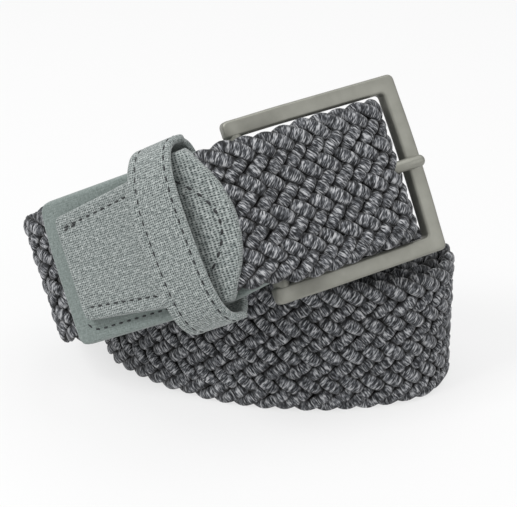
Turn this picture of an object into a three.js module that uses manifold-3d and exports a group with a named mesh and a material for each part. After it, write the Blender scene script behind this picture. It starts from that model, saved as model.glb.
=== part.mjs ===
// A braided stretch belt, buckled into a closed loop and rolled up on its edge.
// Millimetres, +Z up. The roll stands on the floor plane; the buckled run leans over its front wall.
import * as THREE from 'three';
import { mergeVertices } from 'three/addons/utils/BufferGeometryUtils.js';
import Module from 'manifold-3d';

const wasm = await Module();
wasm.setup();

// Driving dimensions
const GAP = 0.3;
const STRAP = { width: 35, thick: 3.6, corner: 0.9, step: 5 };

// The roll in plan: an oval of four arcs, turned about +Z, with each turn one pitch inside the last.
const ROLL = {
  centre: new THREE.Vector2(3.2, 33.6),
  turned: rad(-15.5),
  endRadius: 17.8,
  sideRadius: 62.8,
  sideHalfAngle: rad(37),
  pitch: 4.1,
  startAngle: rad(50),
  trueAt: 0.4,
  leadIn: 0.26,
  turns: 2.75,
  climbFrom: 2.45,
  climbSlope: rad(30),
};

// The buckled run: every piece of it is straight along one width direction.
const RUN = {
  pivot: new THREE.Vector3(-0.14, 1.9, 55.4),
  rise: rad(17.8),
  lean: rad(23),
  rightYaw: rad(26),
  leftYaw: rad(33),
  wrapLength: 14,
};

const FRAME = { height: 45.2, bar: 4.2, depth: 3.8, reach: 44.6, tail: 2.5, pivotRadius: 2, lift: 2.3, bow: 0.5 };
const PRONG = { radius: 1.5, eyeRadius: 3.5, eyeWidth: 5 };
const TAB = { eyeSlot: 3.3 };
const TAIL = { height: 6.2, bendAt: 31.1, bendRadius: 6.1, bendSweep: rad(112) };
const TIP = { apex: -5.3, shoulder: -10.1, halfWidth: 18.7, shift: 0.6 };
const LEFT_TURN = { from: -60.4, radius: 9.5, sweep: rad(62) };
const KEEPER = {
  at: -15.7, shift: -0.2, turned: rad(2.5), width: 14.2, narrowed: 3.8, thick: 2,
  half: 21.9, middle: 3.5, front: 13.3, back: -5.4,
};

// The braid's ends are pressed flat where they are sewn into the tab and the tip.
const BRAID_IN_TAB = [
  { along: -17, halfWidth: 16.5, half: 1.2 },
  { along: -26, halfWidth: 16.5, half: 1.2 },
  { along: -35, halfWidth: 16.5, half: 1.2 },
  { along: -44, halfWidth: 16.5, half: 1.2 },
  { along: -52.4, halfWidth: 16.8, half: 1.3 },
  { along: -57.7, halfWidth: 17.3, half: 1.5 },
  { along: -60.4, halfWidth: 17.4, half: 1.6 },
];
const BRAID_TO_TIP = [
  { along: 31.1, halfWidth: 17.9, half: 1.8, shift: 0 },
  { along: 24, halfWidth: 18, half: 1.8, shift: 0 },
  { along: 17, halfWidth: 18, half: 1.8, shift: 0.1 },
  { along: 9, halfWidth: 18, half: 1.8, shift: 0.2 },
  { along: 2, halfWidth: 17.9, half: 1.8, shift: 0.3 },
  { along: -3.4, halfWidth: 17.6, half: 1.5, shift: 0.5 },
  { along: -8, halfWidth: 17.2, half: 1.3, shift: 0.6 },
  { along: -13, halfWidth: 16.8, half: 1.2, shift: 0.6 },
  { along: -19.7, halfWidth: 16.5, half: 1.2, shift: 0.6 },
];

const COLOURS = { cord: 0x5b5d61, fabric: 0x93999a, metal: 0x97978f };

function rad(degrees) {
  return THREE.MathUtils.degToRad(degrees);
}

// The run's own axes: along (U), away from the front (V) and across the strap (W)
const sinRise = Math.sin(RUN.rise);
const cosRise = Math.cos(RUN.rise);
const AXIS_U = new THREE.Vector3(cosRise, sinRise * Math.sin(RUN.lean), sinRise * Math.cos(RUN.lean));
const AXIS_V = new THREE.Vector3(0, Math.cos(RUN.lean), -Math.sin(RUN.lean));
const AXIS_W = new THREE.Vector3(-sinRise, cosRise * Math.sin(RUN.lean), cosRise * Math.cos(RUN.lean));
const RUN_MATRIX = new THREE.Matrix4().makeBasis(AXIS_U, AXIS_V, AXIS_W).setPosition(RUN.pivot);

// The run's spine: straight to the right of the pivot bar, wrapped back to the left of it.
// along is measured from the pivot bar, height towards the front, across along the strap's width.
function spine(along) {
  const radius = RUN.wrapLength / (RUN.rightYaw + RUN.leftYaw);
  const wrapped = THREE.MathUtils.clamp(-along, 0, RUN.wrapLength);
  const yaw = RUN.rightYaw - wrapped / radius;
  const straight = along + wrapped;
  const u = radius * (Math.sin(yaw) - Math.sin(RUN.rightYaw)) + straight * Math.cos(yaw);
  const v = radius * (Math.cos(RUN.rightYaw) - Math.cos(yaw)) + straight * Math.sin(yaw);
  return { u, v, yaw };
}

function runPoint(along, height, across) {
  const { u, v, yaw } = spine(along);
  return new THREE.Vector3(u + height * Math.sin(yaw), v - height * Math.cos(yaw), across);
}

// Closed solids
function loft(rings) {
  const sides = rings[0].length;
  const positions = rings.flat().flatMap((p) => [p.x, p.y, p.z]);
  const indices = [];
  for (let i = 0; i + 1 < rings.length; i++) {
    for (let j = 0; j < sides; j++) {
      const a = i * sides + j;
      const b = i * sides + ((j + 1) % sides);
      indices.push(a, b, a + sides, b, b + sides, a + sides);
    }
  }
  const lastRing = (rings.length - 1) * sides;
  for (let j = 1; j + 1 < sides; j++) {
    indices.push(0, j + 1, j, lastRing, lastRing + j, lastRing + j + 1);
  }
  const geometry = new THREE.BufferGeometry();
  geometry.setAttribute('position', new THREE.Float32BufferAttribute(positions, 3));
  geometry.setIndex(indices);
  return geometry;
}

function toSolid(geometry) {
  const bare = geometry.clone();
  bare.deleteAttribute('normal');
  bare.deleteAttribute('uv');
  const merged = mergeVertices(bare, 1e-4);
  const mesh = new wasm.Mesh({
    numProp: 3,
    vertProperties: new Float32Array(merged.attributes.position.array),
    triVerts: new Uint32Array(merged.index.array),
  });
  const solid = new wasm.Manifold(mesh);
  return solid.volume() < 0 ? toSolid(turnedInsideOut(merged)) : solid;
}

function turnedInsideOut(geometry) {
  const index = geometry.index.array;
  const flipped = Array.from(index, (_, i) => index[i - (i % 3) + 2 - (i % 3)]);
  const turned = geometry.clone();
  turned.setIndex(flipped);
  return turned;
}

function fromSolid(solid) {
  const { vertProperties, triVerts } = solid.getMesh();
  const geometry = new THREE.BufferGeometry();
  geometry.setAttribute('position', new THREE.BufferAttribute(vertProperties, 3));
  geometry.setIndex(new THREE.BufferAttribute(triVerts, 1));
  return geometry;
}

function piece(name, geometry, material) {
  const flat = geometry.toNonIndexed();
  flat.computeVertexNormals();
  const mesh = new THREE.Mesh(flat, material);
  mesh.name = name;
  return mesh;
}

// A section of the run with cut corners: four long sides and four short ones
function plateRing(along, low, high, halfWidth, corner, shift) {
  const cut = Math.min(corner, (high - low) * 0.3, halfWidth * 0.5);
  const outline = [
    [low, -halfWidth + cut], [low + cut, -halfWidth], [high - cut, -halfWidth], [high, -halfWidth + cut],
    [high, halfWidth - cut], [high - cut, halfWidth], [low + cut, halfWidth], [low, halfWidth - cut],
  ];
  return outline.map(([height, across]) => runPoint(along, height, across + shift));
}

// The roll's plan curve at a normal angle and an inward offset, in the floor plane
function rollPoint(angle, offset) {
  const { endRadius, sideRadius, sideHalfAngle, turned, centre } = ROLL;
  const wrapped = THREE.MathUtils.euclideanModulo(angle, 2 * Math.PI);
  const onBack = Math.abs(wrapped - Math.PI / 2) < sideHalfAngle;
  const onFront = Math.abs(wrapped - 1.5 * Math.PI) < sideHalfAngle;
  const spread = sideRadius - endRadius;
  const arc = new THREE.Vector2();
  if (onBack || onFront) arc.y = spread * Math.cos(sideHalfAngle) * (onBack ? -1 : 1);
  else arc.x = spread * Math.sin(sideHalfAngle) * (Math.cos(wrapped) > 0 ? 1 : -1);
  const radius = (onBack || onFront ? sideRadius : endRadius) - offset;
  const point = new THREE.Vector2(radius * Math.cos(angle), radius * Math.sin(angle)).add(arc);
  return { point: point.rotateAround(new THREE.Vector2(), turned).add(centre), radius };
}

// The normal angle reached by going a distance along the plan curve, from arc to arc
function anglePast(angle, offset, distance) {
  const steps = 16;
  let reached = angle;
  for (let i = 0; i < steps; i++) reached += distance / steps / rollPoint(reached, offset).radius;
  return reached;
}

// Fibres: the strap is described by five lines along its length, at these shares of its half width.
const FIBRES = [-1, -0.5, 0, 0.5, 1];

function runRow(along, height, halfWidth, half = STRAP.thick / 2, shift = 0) {
  const line = FIBRES.map((share) => (
    runPoint(along, height, share * halfWidth + shift).applyMatrix4(RUN_MATRIX)
  ));
  return { line, half };
}

// The end of the braid held in the tab, then the turn that takes it round behind the roll
function tabRows() {
  const rows = BRAID_IN_TAB.map(({ along, halfWidth, half }) => runRow(along, 0, halfWidth, half));
  const steps = 5;
  for (let i = 1; i <= steps; i++) {
    const turn = (LEFT_TURN.sweep * i) / steps;
    const along = LEFT_TURN.from - LEFT_TURN.radius * Math.sin(turn);
    rows.push(runRow(along, LEFT_TURN.radius * (Math.cos(turn) - 1), STRAP.width / 2));
  }
  return rows;
}

// One row across the strap where it stands on edge: centre, heading, slope of its climb and sideways lean
function standingRow({ x, y, z, heading, slope, lean }) {
  const half = STRAP.width / 2;
  const [run, tilt, side] = [rad(heading), rad(slope), rad(lean)];
  const line = FIBRES.map((share) => {
    const across = share * half;
    const back = -Math.sin(tilt) * across;
    const out = Math.sin(side) * Math.cos(tilt) * across;
    return new THREE.Vector3(
      x + back * Math.cos(run) - out * Math.sin(run),
      y + back * Math.sin(run) + out * Math.cos(run),
      z + Math.cos(tilt) * Math.cos(side) * across,
    );
  });
  return { line, half: STRAP.thick / 2 };
}

// Behind the roll's left end, between the buckled run and the first turn
const BEHIND = [
  { x: -51.3, y: 41.8, z: 24.2, heading: 80, slope: -12, lean: -1 },
  { x: -42.8, y: 53.8, z: 18.9, heading: 48, slope: -6, lean: 0 },
];

// Out of the middle of the roll, up over its right end to the buckle
const CLIMB = [
  { x: -14.8, y: 50.4, z: 28.2, heading: -3, slope: 28, lean: 0 },
  { x: -2.3, y: 46.9, z: 35.2, heading: -22, slope: 29, lean: 0 },
  { x: 9.3, y: 40.5, z: 42.4, heading: -33, slope: 29, lean: 5 },
  { x: 19.4, y: 32.1, z: 49.4, heading: -41, slope: 28, lean: 12 },
];

function rollRows() {
  const { pitch, leadIn, turns, trueAt, climbFrom, climbSlope, startAngle } = ROLL;
  const rows = [];
  const half = STRAP.width / 2;
  let lift = 0;
  let turn = -leadIn;
  while (turn <= turns) {
    const angle = startAngle - 2 * Math.PI * turn;
    const offset = pitch * (turn - trueAt);
    const { radius } = rollPoint(angle, offset);
    const share = THREE.MathUtils.clamp((turn - climbFrom) / (turns - climbFrom), 0, 1);
    const slope = climbSlope * share;
    const height = half + lift;
    const line = FIBRES.map((fibre) => {
      const across = fibre * half;
      const { point } = rollPoint(anglePast(angle, offset, across * Math.sin(slope)), offset);
      return new THREE.Vector3(point.x, point.y, height + across * Math.cos(slope));
    });
    rows.push({ line, half: STRAP.thick / 2 });
    const step = THREE.MathUtils.clamp(radius * 0.4, 4, 9);
    lift += step * Math.tan(slope);
    turn += step / radius / (2 * Math.PI);
  }
  return rows;
}

// Round the bend beside the end bar, over the pivot bar and into the tip
function tailRows() {
  const rows = [];
  const steps = 6;
  const centre = TAIL.height - TAIL.bendRadius;
  for (let i = steps; i > 0; i--) {
    const turn = (TAIL.bendSweep * i) / steps;
    const along = TAIL.bendAt + TAIL.bendRadius * Math.sin(turn);
    rows.push(runRow(along, centre + TAIL.bendRadius * Math.cos(turn), BRAID_TO_TIP[0].halfWidth));
  }
  for (const { along, halfWidth, half, shift } of BRAID_TO_TIP) {
    rows.push(runRow(along, TAIL.height, halfWidth, half, shift));
  }
  return rows;
}

function strapGeometry() {
  const rows = [
    ...tabRows(), ...BEHIND.map(standingRow), ...rollRows(), ...CLIMB.map(standingRow), ...tailRows(),
  ];
  const fibres = FIBRES.map((_, j) => new THREE.CatmullRomCurve3(rows.map((row) => row.line[j])));
  const count = rows.length - 1;
  const rings = [];
  for (let i = 0; i < count; i++) {
    const [from, to] = [rows[i], rows[i + 1]];
    const parts = Math.max(1, Math.round(from.line[2].distanceTo(to.line[2]) / STRAP.step));
    for (let k = 0; k < parts; k++) {
      const half = THREE.MathUtils.lerp(from.half, to.half, k / parts);
      rings.push(ribbonRing(fibres, (i + k / parts) / count, half));
    }
  }
  rings.push(ribbonRing(fibres, 1, rows[count].half));
  for (const point of rings.flat()) point.z = Math.max(point.z, 0);
  return loft(rings);
}

function ribbonRing(fibres, at, half) {
  const reach = 1e-4;
  const line = fibres.map((fibre) => fibre.getPoint(at));
  const before = fibres.map((fibre) => fibre.getPoint(Math.max(0, at - reach)));
  const after = fibres.map((fibre) => fibre.getPoint(Math.min(1, at + reach)));
  const normals = line.map((point, j) => {
    const across = line[Math.min(j + 1, 4)].clone().sub(line[Math.max(j - 1, 0)]);
    return after[j].clone().sub(before[j]).cross(across).normalize();
  });
  const inward = line[1].clone().sub(line[0]).normalize().multiplyScalar(STRAP.corner);
  const inwardFar = line[3].clone().sub(line[4]).normalize().multiplyScalar(STRAP.corner);
  const shoulder = Math.max(half - STRAP.corner, 0.3);
  const at3 = (j, offset, shift) => {
    const point = line[j].clone().addScaledVector(normals[j], offset);
    return shift ? point.add(shift) : point;
  };
  return [
    at3(0, -half, inward), at3(0, -shoulder), at3(0, shoulder), at3(0, half, inward),
    at3(1, half), at3(2, half), at3(3, half),
    at3(4, half, inwardFar), at3(4, shoulder), at3(4, -shoulder), at3(4, -half, inwardFar),
    at3(3, -half), at3(2, -half), at3(1, -half),
  ];
}

// Rings of the run's plates, from a table of stations: how far along, back and front faces, half width.
// shift moves a plate across the run.
function plate(stations, corner = 0.5, shift = 0) {
  return loft(stations.map(({ along, back, front, halfWidth }) => (
    plateRing(along, back, front, halfWidth, corner, shift)
  )));
}

// The space that the braid's pressed end takes up in a plate, with its clearance all round.
// The rows run from the braid's end to the pocket's mouth.
function pocket(rows, height, shift = 0) {
  const stations = rows.map(({ along, halfWidth, half }) => ({
    along,
    back: height - half - GAP,
    front: height + half + GAP,
    halfWidth: halfWidth + GAP,
  }));
  const outward = Math.sign(rows[1].along - rows[0].along);
  const bottom = { ...stations[0], along: stations[0].along - outward * GAP };
  const mouth = { ...stations[stations.length - 1], along: rows[rows.length - 1].along + outward * 4 };
  return toSolid(plate([bottom, ...stations, mouth], 0.2, shift));
}

// A rod lying across the run at the pivot
function crossRod(radius, length, sides = 24) {
  return toSolid(new THREE.CylinderGeometry(radius, radius, length, sides).rotateX(Math.PI / 2));
}

// Fabric tab: folded round the pivot bar, slotted for the prong, its two leaves holding the braid's end
const TAB_PLATE = [
  { along: -59.2, back: -2.9, front: 2.9, halfWidth: 18.2 },
  { along: -58.4, back: -2.9, front: 2.9, halfWidth: 18.7 },
  { along: -48, back: -2.7, front: 2.7, halfWidth: 18.7 },
  { along: -39, back: -2.7, front: 2.7, halfWidth: 18.7 },
  { along: -30, back: -2.7, front: 2.7, halfWidth: 18.7 },
  { along: -21, back: -2.7, front: 2.7, halfWidth: 18.7 },
  { along: -14, back: -2.7, front: 2.7, halfWidth: 18.7 },
  { along: -10, back: -2.7, front: 2.7, halfWidth: 18.4 },
  { along: -6, back: -2.8, front: 2.8, halfWidth: 18 },
  { along: -3, back: -3.2, front: 3.2, halfWidth: 17.6 },
  { along: 0, back: -3.5, front: 3.5, halfWidth: 17.6 },
  { along: 1.75, back: -3.03, front: 3.03, halfWidth: 17.6 },
  { along: 3.03, back: -1.75, front: 1.75, halfWidth: 17.6 },
  { along: 3.45, back: -0.5, front: 0.5, halfWidth: 17.6 },
];

function tabGeometry() {
  const slot = plate([
    { along: -6, back: -5, front: 5, halfWidth: TAB.eyeSlot },
    { along: -3, back: -5, front: 5, halfWidth: TAB.eyeSlot },
    { along: 5, back: -5, front: 5, halfWidth: TAB.eyeSlot },
  ]);
  const solid = toSolid(plate(TAB_PLATE))
    .subtract(pocket(BRAID_IN_TAB, 0))
    .subtract(crossRod(FRAME.pivotRadius + GAP, 50))
    .subtract(toSolid(slot));
  return fromSolid(solid);
}

// Strap tip: the convex end laps the braid, and the far end tapers and lies on the tab.
const TIP_PLATE = [
  { along: -53, back: 3.3, front: 5.4, halfWidth: 12.8 },
  { along: -52, back: 3.2, front: 5.6, halfWidth: 13.4 },
  { along: -43, back: 3.0, front: 5.7, halfWidth: 14.3 },
  { along: -34, back: 3.0, front: 5.8, halfWidth: 15.2 },
  { along: -28, back: 3.0, front: 6.4, halfWidth: 15.8 },
  { along: -24, back: 3.05, front: 7.4, halfWidth: 17.1 },
  { along: -20, back: 3.2, front: 8.4, halfWidth: 17.7 },
  { along: -15.5, back: 3.3, front: 8.8, halfWidth: 18.3 },
];

function tipGeometry() {
  const chord = TIP.apex - TIP.shoulder;
  const radius = (TIP.halfWidth ** 2 + chord ** 2) / (2 * chord);
  const roundEnd = [0, 0.3, 0.55, 0.74, 0.87, 0.95, 0.99].map((share) => {
    const along = TIP.shoulder + chord * share;
    const halfWidth = Math.sqrt(radius ** 2 - (radius - chord + chord * share) ** 2);
    const swell = THREE.MathUtils.mapLinear(along, TIP.shoulder, TIP.apex, 0, 0.25);
    return { along, back: 3.35, front: 8.85 + swell, halfWidth };
  });
  const solid = toSolid(plate([...TIP_PLATE, ...roundEnd], 0.5, TIP.shift));
  const braidSpace = pocket(BRAID_TO_TIP.slice(4).reverse(), TAIL.height, TIP.shift);
  return fromSolid(solid.subtract(braidSpace));
}

// Keeper loop: a closed band round the tab and the tip, domed in front, flatter and narrower behind
function keeperGeometry() {
  const { half, middle, front, back, thick, width, narrowed, at, shift, turned } = KEEPER;
  const { yaw } = spine(at);
  const outline = (grow) => {
    const points = [];
    for (let i = 0; i < 64; i++) {
      const turn = (2 * Math.PI * (i + 0.5)) / 64;
      const [c, s] = [Math.cos(turn), Math.sin(turn)];
      const power = c > 0 ? 2 / 3 : 2 / 5;
      const reach = (c > 0 ? front - middle : middle - back) + grow;
      points.push(new THREE.Vector2(
        middle + reach * Math.sign(c) * Math.abs(c) ** power,
        (half + grow) * Math.sign(s) * Math.abs(s) ** power,
      ));
    }
    return points;
  };
  const shape = new THREE.Shape(outline(thick / 2));
  shape.holes.push(new THREE.Path(outline(-thick / 2)));
  const flat = new THREE.ExtrudeGeometry(shape, { depth: width, bevelEnabled: false });
  const positions = flat.attributes.position;
  for (let i = 0; i < positions.count; i++) {
    const behind = THREE.MathUtils.smoothstep(middle - positions.getX(i), 0, 6);
    const along = positions.getZ(i) * (1 - (narrowed / width) * behind) - width / 2;
    const skewed = new THREE.Vector2(along, positions.getY(i));
    skewed.rotateAround(new THREE.Vector2(), turned);
    const point = runPoint(at, positions.getX(i), skewed.y + shift);
    const side = skewed.x;
    positions.setXYZ(i, point.x + side * Math.cos(yaw), point.y + side * Math.sin(yaw), point.z);
  }
  return fromSolid(toSolid(flat));
}

// Cast frame: two arms and a bowed end bar, swept with cut corners, and the pivot bar across their ends
function frameGeometry() {
  const { height, bar, depth, reach, tail, pivotRadius, lift, bow } = FRAME;
  const side = height / 2 - bar / 2;
  const endBar = reach - bar / 2;
  const turn = 2.4;
  const path = [];
  const armStations = [-tail, 0, 2.5, 5, 8, 12, 20, endBar - turn];
  const rise = (along) => lift * THREE.MathUtils.smoothstep(along, 0, 12);
  for (const along of armStations) path.push([along, side, rise(along)]);
  for (const angle of [30, 60, 90]) {
    const a = rad(angle);
    path.push([endBar - turn + turn * Math.sin(a), side - turn + turn * Math.cos(a), lift]);
  }
  for (const share of [0.66, 0.33, 0]) {
    path.push([endBar + bow * (1 - share ** 2), share * (side - turn), lift]);
  }
  const mirrored = path.slice(0, -1).reverse().map(([along, across, up]) => [along, -across, up]);
  const line = [...path, ...mirrored];
  const rings = line.map(([along, across, up], i) => {
    const before = line[Math.max(0, i - 1)];
    const after = line[Math.min(line.length - 1, i + 1)];
    const heading = new THREE.Vector2(after[0] - before[0], after[1] - before[1]).normalize();
    const [w, d, c] = [bar / 2, depth / 2, 0.5];
    const section = [
      [-w + c, -d], [w - c, -d], [w, -d + c], [w, d - c], [w - c, d], [-w + c, d], [-w, d - c], [-w, -d + c],
    ];
    return section.map(([out, front]) => (
      runPoint(along - out * heading.y, up + front, across + out * heading.x)
    ));
  });
  const pivotBar = crossRod(pivotRadius, 2 * side + 0.5);
  return fromSolid(toSolid(loft(rings)).add(pivotBar));
}

// Prong: an eye round the pivot bar and a rod that passes through the braid to rest on the end bar
const PRONG_LINE = [
  { along: 2.6, height: 0.6 },
  { along: 12, height: 1.7 },
  { along: 23, height: 2.3 },
  { along: 33.5, height: 4.2 },
  { along: 40.4, height: 6.05 },
  { along: 43, height: 6.05 },
];

function prongRod(radius, line) {
  const points = line.map(({ along, height }) => runPoint(along, height, 0));
  const circle = new THREE.Shape().absarc(0, 0, radius, 0, 2 * Math.PI);
  const rod = new THREE.ExtrudeGeometry(circle, {
    steps: 14,
    curveSegments: 6,
    bevelEnabled: false,
    extrudePath: new THREE.CatmullRomCurve3(points),
  });
  return toSolid(rod);
}

function prongGeometry() {
  const tip = PRONG_LINE[PRONG_LINE.length - 1];
  const end = runPoint(tip.along, tip.height, 0);
  const cap = toSolid(new THREE.SphereGeometry(PRONG.radius, 12, 8).translate(end.x, end.y, end.z));
  const eye = crossRod(PRONG.eyeRadius, PRONG.eyeWidth);
  const bore = crossRod(FRAME.pivotRadius + GAP, PRONG.eyeWidth + 2);
  return fromSolid(prongRod(PRONG.radius, PRONG_LINE).add(cap).add(eye).subtract(bore));
}

// Materials
const material = (color, roughness, metalness = 0) => (
  new THREE.MeshStandardMaterial({ color, roughness, metalness })
);
const braid = material(COLOURS.cord, 0.95);
const fabric = material(COLOURS.fabric, 0.9);
const metal = material(COLOURS.metal, 0.5, 0.4);

// Assembly: the buckled pieces share the run's frame, and the strap joins it to the roll.
const prongHole = prongRod(PRONG.radius + GAP, PRONG_LINE).transform(RUN_MATRIX.elements);
const strap = fromSolid(toSolid(strapGeometry()).subtract(prongHole));

const run = new THREE.Group();
run.applyMatrix4(RUN_MATRIX);
run.add(
  piece('buckle_frame', frameGeometry(), metal),
  piece('buckle_prong', prongGeometry(), metal),
  piece('buckle_tab', tabGeometry(), fabric),
  piece('keeper_loop', keeperGeometry(), fabric),
  piece('strap_tip', tipGeometry(), fabric),
);

const belt = new THREE.Group();
belt.add(piece('braided_strap', strap, braid), run);

// The origin is the middle of the belt's footprint, on the floor.
const bounds = new THREE.Box3().setFromObject(belt, true);
const middle = bounds.getCenter(new THREE.Vector3());
belt.position.set(-middle.x, -middle.y, -bounds.min.z);

export default belt;
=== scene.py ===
# %% [markdown]
# # A braided stretch belt, buckled and rolled up
# The belt is a flat braid of elastic cords with a canvas tab, keeper and tip and a coated
# single-prong buckle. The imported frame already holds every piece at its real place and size.
# This lesson dresses that frame: it makes the cords, the canvas, the stitches and the metal.

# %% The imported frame
import math

import bpy
import numpy as np
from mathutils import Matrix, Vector


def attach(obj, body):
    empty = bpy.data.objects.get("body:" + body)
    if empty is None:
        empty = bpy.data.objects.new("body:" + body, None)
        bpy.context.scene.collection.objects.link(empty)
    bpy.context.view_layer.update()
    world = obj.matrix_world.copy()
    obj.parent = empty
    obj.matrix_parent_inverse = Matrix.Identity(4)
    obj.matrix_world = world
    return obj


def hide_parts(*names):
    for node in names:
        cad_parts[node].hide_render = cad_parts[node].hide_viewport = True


MM = 0.001

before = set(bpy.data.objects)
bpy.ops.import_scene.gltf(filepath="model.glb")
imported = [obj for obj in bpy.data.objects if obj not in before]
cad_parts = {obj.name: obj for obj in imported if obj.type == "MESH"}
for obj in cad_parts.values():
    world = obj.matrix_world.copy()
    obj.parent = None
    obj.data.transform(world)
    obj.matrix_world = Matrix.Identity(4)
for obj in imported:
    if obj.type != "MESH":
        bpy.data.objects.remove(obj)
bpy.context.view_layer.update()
print("frame:", sorted(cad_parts))

# %% [markdown]
# ## Where the buckled run lies
# The run is the leaning stretch with the buckle. It has its own directions: along the strap,
# away from the viewer and across the strap's width. It is straight on both sides of the pivot
# bar and bends a little between. All sizes here are in millimetres, as in the part's drawing,
# and ORIGIN moves them from the drawing's origin to the middle of the footprint.

# %% Run directions
ORIGIN = np.array([5.3062, -23.7979, 0.0])
PIVOT = np.array([-0.14, 1.9, 55.4])
RISE, LEAN = math.radians(17.8), math.radians(23)
RIGHT_YAW, LEFT_YAW, WRAP_LENGTH = math.radians(26), math.radians(33), 14.0
print("pivot bar at", np.round(PIVOT + ORIGIN, 1), "mm")

sin_rise, cos_rise = math.sin(RISE), math.cos(RISE)
sin_lean, cos_lean = math.sin(LEAN), math.cos(LEAN)
RUN_AXES = np.array([
    [cos_rise, sin_rise * sin_lean, sin_rise * cos_lean],
    [0.0, cos_lean, -sin_lean],
    [-sin_rise, cos_rise * sin_lean, cos_rise * cos_lean],
])


def run_to_drawing(along, across, height):
    """Points of the run: along from the pivot bar, across the strap, height to the front."""
    along, across, height = np.broadcast_arrays(
        np.asarray(along, float), np.asarray(across, float), np.asarray(height, float))
    radius = WRAP_LENGTH / (RIGHT_YAW + LEFT_YAW)
    wrapped = np.clip(-along, 0, WRAP_LENGTH)
    yaw = RIGHT_YAW - wrapped / radius
    straight = along + wrapped
    u = radius * (np.sin(yaw) - math.sin(RIGHT_YAW)) + straight * np.cos(yaw) + height * np.sin(yaw)
    v = radius * (math.cos(RIGHT_YAW) - np.cos(yaw)) + straight * np.sin(yaw) - height * np.cos(yaw)
    return PIVOT + np.stack([u, v, across], -1) @ RUN_AXES


# %% [markdown]
# ## Small helpers
# New meshes are made in millimetres in the run's flat directions: X along, Y across and Z to
# the front. One function then lays them on the run, in metres, so that every finished object
# sits at the origin, unturned. Nothing stays selected between two steps.

# %% Helpers for objects
def deselect_all():
    if bpy.context.object and bpy.context.object.mode != "OBJECT":
        bpy.ops.object.mode_set(mode="OBJECT")
    bpy.ops.object.select_all(action="DESELECT")


def named(name):
    """The object that was just added, under its own name."""
    piece = bpy.context.object
    piece.name = piece.data.name = name
    return piece


def points_of(piece):
    flat = np.empty(len(piece.data.vertices) * 3)
    piece.data.vertices.foreach_get("co", flat)
    return flat.reshape(-1, 3)


def set_points(piece, points):
    piece.data.vertices.foreach_set("co", np.asarray(points, float).ravel())
    piece.data.update()


def choose(piece, kind, wanted):
    """Selects the vertices, edges or faces whose middle passes the test."""
    if piece.mode != "OBJECT":
        bpy.ops.object.mode_set(mode="OBJECT")
    mesh = piece.data
    for group in (mesh.vertices, mesh.edges, mesh.polygons):
        group.foreach_set("select", [False] * len(group))
    for item in getattr(mesh, kind):
        if kind == "vertices":
            middle = item.co
        else:
            corners = [mesh.vertices[i].co for i in item.vertices]
            middle = sum(corners, Vector()) / len(corners)
        if wanted(middle):
            item.select = True
    mode = {"vertices": "VERT", "edges": "EDGE", "polygons": "FACE"}[kind]
    bpy.ops.object.mode_set(mode="EDIT")
    bpy.ops.mesh.select_mode(type=mode)


def travelled(line):
    """How far along a line of points each of them lies."""
    return np.concatenate([[0], np.cumsum(np.linalg.norm(np.diff(line, axis=0), axis=1))])


def apply_place():
    """Puts the place, turn and size of a new object in its mesh."""
    bpy.ops.object.transform_apply(location=True, rotation=True, scale=True)


def ease(share):
    """A share from 0 to 1 with a gentle start and end."""
    share = np.clip(share, 0, 1)
    return share ** 2 * (3 - 2 * share)


def cross_rod(name, radius, length, sides=40):
    """A round rod across the run, at its middle."""
    deselect_all()
    bpy.ops.mesh.primitive_cylinder_add(vertices=sides, radius=radius, depth=length,
                                        rotation=(math.pi / 2, 0, 0))
    apply_place()
    return named(name)


def join_into(piece, other):
    """Joins another object into a piece, which stays selected."""
    deselect_all()
    other.select_set(True)
    piece.select_set(True)
    bpy.context.view_layer.objects.active = piece
    bpy.ops.object.join()


def apply_modifier(piece, kind, **settings):
    modifier = piece.modifiers.new(kind.title(), kind)
    for name, value in settings.items():
        setattr(modifier, name, value)
    bpy.context.view_layer.objects.active = piece
    bpy.ops.object.modifier_apply(modifier=modifier.name)


def lay_on_run(piece, straight_at=None):
    """Moves a mesh from flat millimetres on to the run, in metres.

    With straight_at the piece isn't bent: it is set straight on the run at that place.
    """
    flat = points_of(piece)
    if straight_at is None:
        placed = run_to_drawing(flat[:, 0], flat[:, 1], flat[:, 2])
    else:
        placed = run_to_drawing(straight_at, flat[:, 1], flat[:, 2])
        ends = run_to_drawing([straight_at - 1, straight_at], 0, 0)
        placed = placed + flat[:, :1] * (ends[1] - ends[0])
    set_points(piece, (placed + ORIGIN) * MM)


def finished(piece, material, slot, *nodes):
    """Gives a piece its finish and ties it to the frame."""
    piece.data.materials.clear()
    piece.data.materials.append(material)
    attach(piece, "root")
    if nodes:
        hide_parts(*nodes)
    print(f"{piece.name}: {len(piece.data.polygons)} faces")
    return piece


# %% Helpers for materials
def from_hex(code):
    """An sRGB hex colour as linear red, green, blue and alpha."""
    channels = [int(code[i:i + 2], 16) / 255 for i in (0, 2, 4)]
    return [c / 12.92 if c <= 0.04045 else ((c + 0.055) / 1.055) ** 2.4 for c in channels] + [1.0]


def add_node(tree, kind, inputs=None, **settings):
    """Adds a node, sets its properties, and sets or links its inputs."""
    node = tree.nodes.new(kind)
    for name, value in settings.items():
        setattr(node, name, value)
    for key, value in (inputs or {}).items():
        if isinstance(value, bpy.types.NodeSocket):
            tree.links.new(value, node.inputs[key])
        else:
            node.inputs[key].default_value = value
    return node


def new_material(name, roughness, sheen=0.0, metallic=0.0, ior=1.5):
    """A material with a Principled shader, and its node tree and shader."""
    material = bpy.data.materials.new(name)
    material.use_nodes = True
    shader = material.node_tree.nodes["Principled BSDF"]
    shader.inputs["Roughness"].default_value = roughness
    shader.inputs["Metallic"].default_value = metallic
    shader.inputs["IOR"].default_value = ior
    shader.inputs["Sheen Weight"].default_value = sheen
    return material, material.node_tree, shader


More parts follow.
